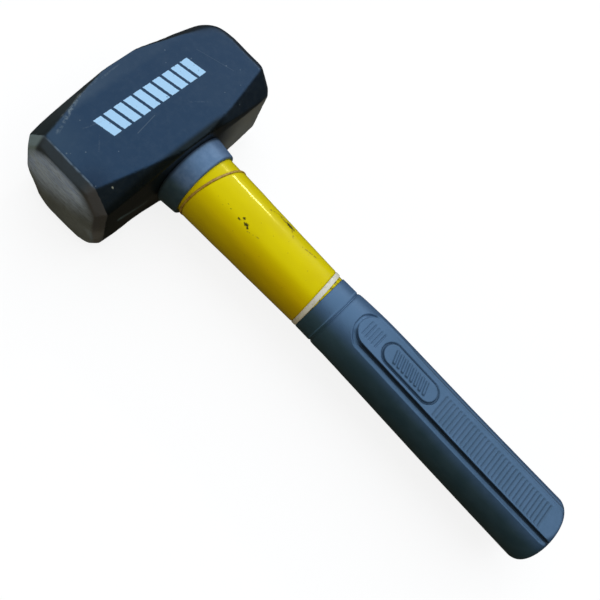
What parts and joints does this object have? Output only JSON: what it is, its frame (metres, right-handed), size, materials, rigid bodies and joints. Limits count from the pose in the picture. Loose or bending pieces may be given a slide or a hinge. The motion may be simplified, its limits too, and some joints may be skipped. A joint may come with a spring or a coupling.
{
  "type": "lump hammer",
  "caption": "Short heavy masonry hammer: bevelled double-faced steel head on a straight fibreglass shaft with a ribbed rubber grip, lying on its side.",
  "frame": {"origin": "on the plane of the lower cheek of the head, straight under the crossing of the head's long axis and the handle's axis", "axes": "+Z out of the upper cheek, +X along the handle from the head to the butt, +Y along the head from one striking face to the other"},
  "size_m": [0.2661, 0.1032, 0.047],
  "materials": {
    "painted_steel": "satin dark blue paint over forged steel, ground bare on the striking faces",
    "fibreglass": "matt cut end of a glass-fibre rod",
    "resin": "cast epoxy, dull",
    "yellow_plastic": "smooth moulded, slightly dulled",
    "collar_rubber": "satin rubber",
    "bead_adhesive": "dull set adhesive",
    "yellow_wrap": "glossy with chips and dirt",
    "white_plastic": "satin",
    "grip_rubber": "satin moulded rubber"
  },
  "bodies": {
    "root": {"hammer_head": "painted_steel", "shaft_rod": "fibreglass", "eye_resin": "resin", "shaft_jacket": "yellow_plastic", "head_collar": "collar_rubber", "sleeve_bead": "bead_adhesive", "shaft_sleeve": "yellow_wrap", "end_ring": "white_plastic", "grip": "grip_rubber"}
  },
  "joints": []
}
